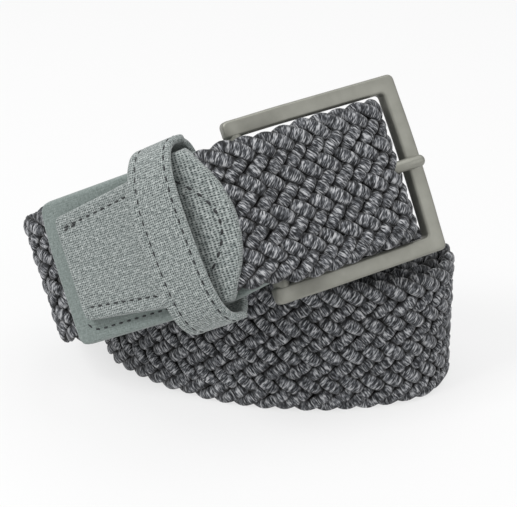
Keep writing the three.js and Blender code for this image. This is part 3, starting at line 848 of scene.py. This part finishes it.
def sew(name, seams, surface):
    """Rows of stitches along seams; surface gives points from places on it and a lift."""
    deselect_all()
    bpy.ops.mesh.primitive_uv_sphere_add(segments=8, ring_count=6, radius=1)
    bpy.ops.transform.resize(value=(STITCH_LENGTH / 2, STITCH_RADIUS * 1.1, STITCH_RADIUS))
    bpy.ops.object.transform_apply(location=False, rotation=False, scale=True)
    row = named(name)
    one = points_of(row)
    quads = [list(face.vertices) for face in row.data.polygons]
    points, faces = [], []
    for seam in seams:
        seam = np.array(seam, float)
        lengths = travelled(seam)
        for at in np.arange(STITCH_LENGTH / 2, lengths[-1] - STITCH_LENGTH / 3,
                            STITCH_LENGTH + STITCH_GAP):
            before, here, after = (np.array([np.interp(at + d, lengths, seam[:, k]) for k in (0, 1)])
                                   for d in (-STITCH_WAY, 0, STITCH_WAY))
            way = (after - before) / np.linalg.norm(after - before)
            flat = here + one[:, :1] * way + one[:, 1:2] * np.array([-way[1], way[0]])
            faces += [[i + len(points) * len(one) for i in quad] for quad in quads]
            points.append(surface(flat[:, 0], flat[:, 1], one[:, 2] - STITCH_SINK))
    sewn = bpy.data.meshes.new(name)
    sewn.from_pydata(np.concatenate(points).tolist(), [], faces)
    sewn.shade_smooth()
    row.data = sewn
    print(f"{name}: {len(points)} stitches")
    return row


# %% [markdown]
# ## Strap tip
# The tip is a canvas sleeve on the end of the braid. Its convex end laps the braid and its
# other end tapers. Seams run inside its edges, with a short bar of stitches at the taper's
# upper corner. The face rises where the braid's end fills it.

# %% Tip sizes
TIP_STATIONS = np.array([
    # along, back, front, half width
    (-53, 3.3, 5.4, 12.8), (-52, 3.2, 5.6, 13.4), (-43, 3.0, 5.7, 14.3), (-34, 3.0, 5.8, 15.2),
    (-28, 3.0, 6.4, 15.8), (-24, 3.05, 7.4, 16.6), (-20, 3.2, 8.4, 17.5), (-15.5, 3.3, 8.8, 18.2),
    (-10.1, 3.35, 8.85, 18.7), (-5, 3.35, 9.1, 18.7),
])
TIP_HALF, TIP_APEX, TIP_SHOULDER, TIP_SHIFT = 18.7, -5.3, -10.1, 0.6
TIP_LEFT, TIP_LEFT_HALF, TIP_CORNER, TIP_LENGTH = -53.0, 12.6, 2.2, 45
POCKET_GAP, POCKET_MOUTH = 0.3, 4
tip_radius = (TIP_HALF ** 2 + (TIP_APEX - TIP_SHOULDER) ** 2) / (2 * (TIP_APEX - TIP_SHOULDER))


def tip_right(side):
    return TIP_APEX - tip_radius + np.sqrt(tip_radius ** 2 - (side * TIP_HALF) ** 2)


def tip_left(side):
    return TIP_LEFT + corner_cut(side, TIP_LEFT_HALF, TIP_CORNER)


def tip_edge(x):
    return np.interp(x, TIP_STATIONS[:, 0], TIP_STATIONS[:, 3])


CURVE_INSET, CURVE_MORE, UPPER_INSET, LOWER_INSET = 2.7, 1.9, 3.2, 3.4
tip_along = np.linspace(-50, -16, 12)
tip_seams = [
    # the curve inside the convex end, the two sides, the bar
    [(tip_right(y / TIP_HALF) - CURVE_INSET - CURVE_MORE * (y / 10) ** 2, y)
     for y in np.linspace(-14, 14, 15)],
    [(x, tip_edge(x) - UPPER_INSET) for x in tip_along],
    [(x, LOWER_INSET - tip_edge(x)) for x in tip_along],
    [(-50.4, 9.7), (-46.2, 10.3)],
]


def pocket_space(name, table, height, shift=0.0):
    """The room for the braid's pressed end, with its clearance, open towards the mouth."""
    table = np.array(table, float)
    outward = math.copysign(1, table[-1, 0] - table[0, 0])
    ends = sorted([table[0, 0] - outward * POCKET_GAP, table[-1, 0] + outward * POCKET_MOUTH])
    order = np.argsort(table[:, 0])
    half = table[order, 2] + POCKET_GAP
    stations = np.column_stack([table[order, 0], height - half, height + half,
                                table[order, 1] + POCKET_GAP])
    shape = plate_shape(stations, lambda side: ends[0] + 0 * side, lambda side: ends[1] + 0 * side,
                        shift=shift)
    rows_a = np.linspace(0, 1, 20), np.r_[0, np.ones(18), 0]     # square ends
    rows_b = edge_rows(2 * stations[:, 3].max(), radius=0.6)
    return cloth_panel(name, rows_a, rows_b, shape)


# %% Model the tip
tip_shape = plate_shape(TIP_STATIONS, tip_left, tip_right, tip_seams, TIP_SHIFT)
tip = cloth_panel("tip_canvas", edge_rows(TIP_LENGTH), edge_rows(2 * TIP_HALF), tip_shape)
cut_away(tip, pocket_space("tip_pocket", BRAID_TO_TIP[4:][::-1], TAIL_HEIGHT, TIP_SHIFT))


def tip_face(along, across, lift):
    height = np.interp(along, TIP_STATIONS[:, 0], TIP_STATIONS[:, 2]) + lift
    return np.column_stack([along, across + TIP_SHIFT, height])


tip_stitches = sew("tip_stitches", tip_seams, tip_face)
for piece in (tip, tip_stitches):
    lay_on_run(piece)
finished(tip, canvas, "canvas", "strap_tip")
finished(tip_stitches, thread, "canvas")

# %% [markdown]
# ## Buckle tab
# The tab is canvas folded round the pivot bar, with a slot in the fold for the prong's eye.
# Its two leaves hold the other end of the braid between them. Its free end has round corners
# and slants a little. It is made as one panel: a cylinder cuts the room for the bar, and a box
# cuts the slot.

# %% Tab sizes
TAB_STATIONS = np.array([
    # along, back, front, half width
    (-59.2, -2.9, 2.9, 18.2), (-58.2, -2.9, 2.9, 18.7), (-48, -2.7, 2.7, 18.7), (-14, -2.7, 2.7, 18.7),
    (-10, -2.7, 2.7, 18.2), (-6, -2.8, 2.8, 17.5), (-3, -3.2, 3.2, 17), (-1.5, -3.45, 3.45, 16.9),
    (0, -3.5, 3.5, 16.9), (3.5, -3.5, 3.5, 16.9),
])
TAB_LEFT, TAB_WIDTH, TAB_END_HALF, TAB_CORNER, TAB_SLANT = -59.2, 37, 18.2, 2.8, 1.2
TAB_EDGE, TAB_EDGE_ROWS = 3.4, 8
FOLD_RADIUS, PIVOT_RADIUS, BORE_GAP = 3.5, 2.0, 0.3
SLOT_SIZE, SLOT_MIDDLE = (11, 6.6, 12), -0.5
tab_seams = [[(x, y) for x in np.linspace(-50, -9, 16)] for y in (-15.6, 12.6)]
tab_seams[0] = [(-54.5, -13.6), (-53.4, -15.0), (-51.8, -15.5)] + tab_seams[0]


def tab_left(side):
    slant = TAB_SLANT * np.clip((side - 0.2) / 0.8, 0, 1) ** 2
    return TAB_LEFT + corner_cut(side, TAB_END_HALF, TAB_CORNER) + slant


# %% Model the tab
# Both ends get the fold's close rows, and the free end then its own thin, soft edge.
tab_length = FOLD_RADIUS - TAB_LEFT
tab_places, tab_full = edge_rows(tab_length, radius=TAB_EDGE, steps=TAB_EDGE_ROWS)
end_share = np.clip(tab_places[:TAB_EDGE_ROWS] * tab_length / SOFT_EDGE, 0, 1)
tab_full[:TAB_EDGE_ROWS] = np.sqrt(1 - (1 - end_share) ** 2)
tab_shape = plate_shape(TAB_STATIONS, tab_left, lambda side: FOLD_RADIUS + 0 * side, tab_seams)
tab = cloth_panel("tab_canvas", (tab_places, tab_full), edge_rows(TAB_WIDTH), tab_shape)
cut_away(tab, pocket_space("tab_pocket", BRAID_IN_TAB, 0.0))
cut_away(tab, cross_rod("fold_space", PIVOT_RADIUS + BORE_GAP, TAB_WIDTH + 13))
deselect_all()
bpy.ops.mesh.primitive_cube_add(size=1, location=(SLOT_MIDDLE, 0, 0))
bpy.ops.transform.resize(value=SLOT_SIZE)
apply_place()
cut_away(tab, named("slot_space"))


def tab_face(along, across, lift):
    height = np.interp(along, TAB_STATIONS[:, 0], TAB_STATIONS[:, 2]) + lift
    return np.column_stack([along, across, height])


tab_stitches = sew("tab_stitches", tab_seams, tab_face)
for piece in (tab, tab_stitches):
    lay_on_run(piece)
finished(tab, fine_canvas, "canvas", "buckle_tab")
finished(tab_stitches, thread, "canvas")

# %% [markdown]
# ## Keeper loop
# The keeper is a folded strip of canvas sewn into a band round the tab and the tip. It bulges
# over them in front, is narrower behind and is drawn in where it turns over the upper edge. Its
# path is the middle of its wall, sampled all the way round, and a rule lays a flat grid on it.

# %% Keeper sizes
KEEPER_AT, KEEPER_SHIFT, KEEPER_TURNED = -15.7, -0.2, math.radians(2.5)
KEEPER_WIDTH, KEEPER_NARROWED, KEEPER_HALF_THICKNESS, KEEPER_HALF = 14.2, 3.8, 1.0, 21.9
KEEPER_MIDDLE, KEEPER_FRONT, KEEPER_BACK, KEEPER_DRAWN_IN = 3.5, 13.3, -5.4, 1.7
FRONT_POWER, BACK_POWER = 2 / 3, 2 / 5     # the lower, the squarer
KEEPER_TAPER = 6                           # height over which it becomes narrower
DRAWN_FROM, DRAWN_OVER = 8, 12             # where across the strap it is drawn in
KEEPER_WAY = 0.2                           # how far ahead its direction is read

turn = np.linspace(-math.pi / 2, 1.5 * math.pi, 241)
power = np.where(np.cos(turn) > 0, FRONT_POWER, BACK_POWER)
reach = np.where(np.cos(turn) > 0, KEEPER_FRONT - KEEPER_MIDDLE, KEEPER_MIDDLE - KEEPER_BACK)
keeper_path = np.column_stack([
    # height, across
    KEEPER_MIDDLE + reach * np.sign(np.cos(turn)) * np.abs(np.cos(turn)) ** power,
    KEEPER_HALF * np.sign(np.sin(turn)) * np.abs(np.sin(turn)) ** power,
])
keeper_lengths = travelled(keeper_path)
KEEPER_ROUND = keeper_lengths[-1]
print("keeper band:", round(KEEPER_ROUND, 1), "mm round")


def keeper_wall(along, round_length, lift):
    """Flat points of the keeper from places along, round its band and out from its middle."""
    before, after = (
        np.column_stack([np.interp(np.mod(round_length + d, KEEPER_ROUND), keeper_lengths,
                                   keeper_path[:, k]) for k in (0, 1)])
        for d in (-KEEPER_WAY, KEEPER_WAY))
    way = (after - before) / np.linalg.norm(after - before, axis=1, keepdims=True)
    out = np.column_stack([way[:, 1], -way[:, 0]])
    wall = (before + after) / 2 + out * np.asarray(lift, float)[:, None]
    height, across = wall.T
    behind = ease((KEEPER_MIDDLE - height) / KEEPER_TAPER)
    along = along - (along + KEEPER_WIDTH / 2) * KEEPER_NARROWED / KEEPER_WIDTH * behind
    upper = np.clip((across - DRAWN_FROM) / DRAWN_OVER, 0, 1)
    along = along + (KEEPER_WIDTH / 2 - along) * KEEPER_DRAWN_IN / KEEPER_WIDTH * upper
    c, s = math.cos(KEEPER_TURNED), math.sin(KEEPER_TURNED)
    return np.column_stack([c * along - s * across, s * along + c * across + KEEPER_SHIFT, height])


keeper_seams = [[(x, y) for y in np.linspace(0, KEEPER_ROUND, 60)] for x in (-4.2, 5.7)]


def keeper_shape(a, b, a_full, b_full, facing):
    along = (a - 0.5) * KEEPER_WIDTH
    dip = sum(SEAM_DEPTH * np.exp(-((along - seam[0][0]) / SEAM_WIDTH) ** 2)
              for seam in keeper_seams)
    lift = facing * KEEPER_HALF_THICKNESS * a_full - (dip if facing > 0 else 0)
    cloth = np.column_stack([along + np.sign(along) * (1 - a_full), b * KEEPER_ROUND])
    return keeper_wall(along, b * KEEPER_ROUND, lift), cloth


# %% Model the keeper
keeper = cloth_panel("keeper_canvas", edge_rows(KEEPER_WIDTH), even_rows(KEEPER_ROUND),
                     keeper_shape)


def keeper_face(along, round_length, lift):
    return keeper_wall(along, round_length, lift + KEEPER_HALF_THICKNESS)


keeper_stitches = sew("keeper_stitches", keeper_seams, keeper_face)
for piece in (keeper, keeper_stitches):
    lay_on_run(piece, straight_at=KEEPER_AT)
finished(keeper, canvas, "canvas", "keeper_loop")
finished(keeper_stitches, thread, "canvas")

# %% [markdown]
# ## Buckle metal
# The frame and prong are cast zinc under a warm grey satin lacquer, so they are only partly
# metallic. The lacquer spreads the highlight and mirrors nothing. The casting below it shows as
# patches about 3 mm wide that differ faintly in tone, and as a fine grain.

# %% Metal material
PATCH, GRAIN = 3, 0.5          # millimetres
metal, metal_tree, metal_shader = new_material("satin_lacquered_zinc", roughness=0.48,
                                               metallic=0.6)
metal_place = add_node(metal_tree, "ShaderNodeTexCoord")
metal_noise = add_node(metal_tree, "ShaderNodeTexNoise",
                       {"Vector": metal_place.outputs["Object"], "Scale": 1 / (PATCH * MM), "Detail": 3.0})
metal_tone = add_node(metal_tree, "ShaderNodeValToRGB", {0: metal_noise.outputs["Fac"]})
set_ramp(metal_tone, (0.3, "85857D"), (0.7, "8D8D85"))
metal_grain = add_node(metal_tree, "ShaderNodeTexNoise", {
    "Vector": metal_place.outputs["Object"], "Scale": 1 / (GRAIN * MM), "Detail": 1.0})
give_surface(metal_tree, metal_shader, metal_tone.outputs[0], metal_grain.outputs["Fac"],
             strength=0.1, depth=0.1)

# %% [markdown]
# ## Buckle frame
# A cast frame starts as a flat outline: a plane is inset, the middle and left bar are taken
# out and the corners are rounded. The outline is cut into strips, so that its arms can rise
# and its end bar bow, and then extruded. A bevel rounds its edges as the casting's are. The
# round pivot bar is let into both arms.

# %% Frame sizes
FRAME_HEIGHT, FRAME_BAR, FRAME_DEPTH, FRAME_REACH, FRAME_TAIL = 45.2, 4.2, 3.8, 44.6, 2.5
FRAME_LIFT, FRAME_BOW = 2.3, 0.5
OUTER_CORNER, INNER_CORNER, CAST_EDGE, ARM_CORNER = 1.6, 0.9, 0.7, 1.4
ARM_RISE = 12                                               # length over which the arms rise
BEND_CUTS = *np.arange(0, ARM_RISE + 1, 1.5), 20, 30
BOW_CUTS = range(-16, 17, 4)
BOW_FROM, BOW_RAMP, BOW_HALF = 36, 6, 18.9
PIVOT_TENON = 0.4                                           # the bar's ends, let into the arms


def bisect_all(piece, place, normal, **settings):
    choose(piece, "polygons", lambda middle: True)
    bpy.ops.mesh.bisect(plane_co=place, plane_no=normal, **settings)


# %% Model the frame
deselect_all()
left_end = -FRAME_TAIL - FRAME_BAR
frame_middle = (left_end + FRAME_REACH) / 2
bpy.ops.mesh.primitive_plane_add(size=1, location=(frame_middle, 0, -FRAME_DEPTH / 2))
buckle = named("buckle_cast_frame")
bpy.ops.transform.resize(value=(FRAME_REACH - left_end, FRAME_HEIGHT, 1))
apply_place()
choose(buckle, "polygons", lambda middle: True)
bpy.ops.mesh.inset(thickness=FRAME_BAR)
choose(buckle, "polygons", lambda at: math.hypot(at.x - frame_middle, at.y) < 1)
bpy.ops.mesh.delete(type="FACE")
bisect_all(buckle, (-FRAME_TAIL, 0, 0), (1, 0, 0), clear_inner=True)
bpy.ops.mesh.select_all(action="SELECT")
bpy.ops.mesh.dissolve_limited(angle_limit=0.01)
for reach, half, radius in ((FRAME_REACH, FRAME_HEIGHT / 2, OUTER_CORNER),
                            (FRAME_REACH - FRAME_BAR, FRAME_HEIGHT / 2 - FRAME_BAR, INNER_CORNER),
                            (-FRAME_TAIL, FRAME_HEIGHT / 2, ARM_CORNER)):
    choose(buckle, "vertices", lambda at: abs(at.x - reach) < 0.01 and abs(abs(at.y) - half) < 0.01)
    bpy.ops.mesh.bevel(offset=radius, segments=6, affect="VERTICES")
for along in BEND_CUTS:
    bisect_all(buckle, (along, 0, 0), (1, 0, 0))
for across in BOW_CUTS:
    bisect_all(buckle, (0, across, 0), (0, 1, 0))
choose(buckle, "polygons", lambda middle: True)
bpy.ops.mesh.extrude_region_move(TRANSFORM_OT_translate={"value": (0, 0, FRAME_DEPTH)})
bpy.ops.mesh.select_all(action="SELECT")
bpy.ops.mesh.normals_make_consistent(inside=False)
bpy.ops.object.mode_set(mode="OBJECT")

flat = points_of(buckle)
flat[:, 2] += FRAME_LIFT * ease(flat[:, 0] / ARM_RISE)
on_end_bar = np.clip((flat[:, 0] - BOW_FROM) / BOW_RAMP, 0, 1)
flat[:, 0] += FRAME_BOW * on_end_bar * (1 - np.clip(np.abs(flat[:, 1]) / BOW_HALF, 0, 1) ** 2)
set_points(buckle, flat)
apply_modifier(buckle, "BEVEL", width=CAST_EDGE, segments=4, limit_method="ANGLE",
               angle_limit=math.radians(40))
pivot_length = FRAME_HEIGHT - 2 * FRAME_BAR + 2 * PIVOT_TENON
join_into(buckle, cross_rod("pivot_bar", PIVOT_RADIUS, pivot_length, sides=32))
lay_on_run(buckle)
bpy.ops.object.shade_smooth_by_angle(angle=math.radians(35))
finished(buckle, metal, "buckle_metal", "buckle_frame")

# %% [markdown]
# ## Prong
# The prong is a round rod with a domed end and an eye round the pivot bar. A cylinder gets a
# rounded end, is cut into lengths and takes its curve. The eye is a short tube.

# %% Prong sizes
PRONG_RADIUS, EYE_RADIUS, EYE_WIDTH, EYE_EDGE = 1.5, 3.5, 5.0, 0.5
DOME, DOME_STEPS, PRONG_CUT = 0.96, 7, 2     # share of the radius, steps, millimetres
PRONG_LINE = np.array([
    # along, height
    (2.6, 0.6), (12, 1.7), (23, 2.3), (33.5, 4.2), (40.4, 6.05), (43.0, 6.05),
])
prong_curve = smooth_curve(np.column_stack([PRONG_LINE, np.zeros(len(PRONG_LINE))]), 12)

# %% Model the prong
deselect_all()
start, end = PRONG_LINE[0, 0], PRONG_LINE[-1, 0] + PRONG_RADIUS
bpy.ops.mesh.primitive_cylinder_add(vertices=24, radius=PRONG_RADIUS, depth=end - start,
                                    location=((start + end) / 2, 0, 0), rotation=(0, math.pi / 2, 0))
apply_place()
prong = named("buckle_rod_prong")
choose(prong, "polygons", lambda middle: abs(middle.x - end) < 0.01)
bpy.ops.mesh.bevel(offset=PRONG_RADIUS * DOME, segments=DOME_STEPS, affect="EDGES")
for along in np.arange(start + PRONG_CUT, end - PRONG_CUT, PRONG_CUT):
    bisect_all(prong, (along, 0, 0), (1, 0, 0))
bpy.ops.object.mode_set(mode="OBJECT")
flat = points_of(prong)
flat[:, 2] += np.interp(flat[:, 0], prong_curve[:, 0], prong_curve[:, 1])
set_points(prong, flat)

eye_ring = cross_rod("prong_eye", EYE_RADIUS, EYE_WIDTH)
choose(eye_ring, "edges", lambda middle: abs(abs(middle.y) - EYE_WIDTH / 2) < 0.01)
bpy.ops.mesh.bevel(offset=EYE_EDGE, segments=3, affect="EDGES")
cut_away(eye_ring, cross_rod("eye_bore", PIVOT_RADIUS + BORE_GAP, EYE_WIDTH + 2))
join_into(prong, eye_ring)
lay_on_run(prong)
bpy.ops.object.shade_smooth_by_angle(angle=math.radians(35))
finished(prong, metal, "buckle_metal", "buckle_prong")
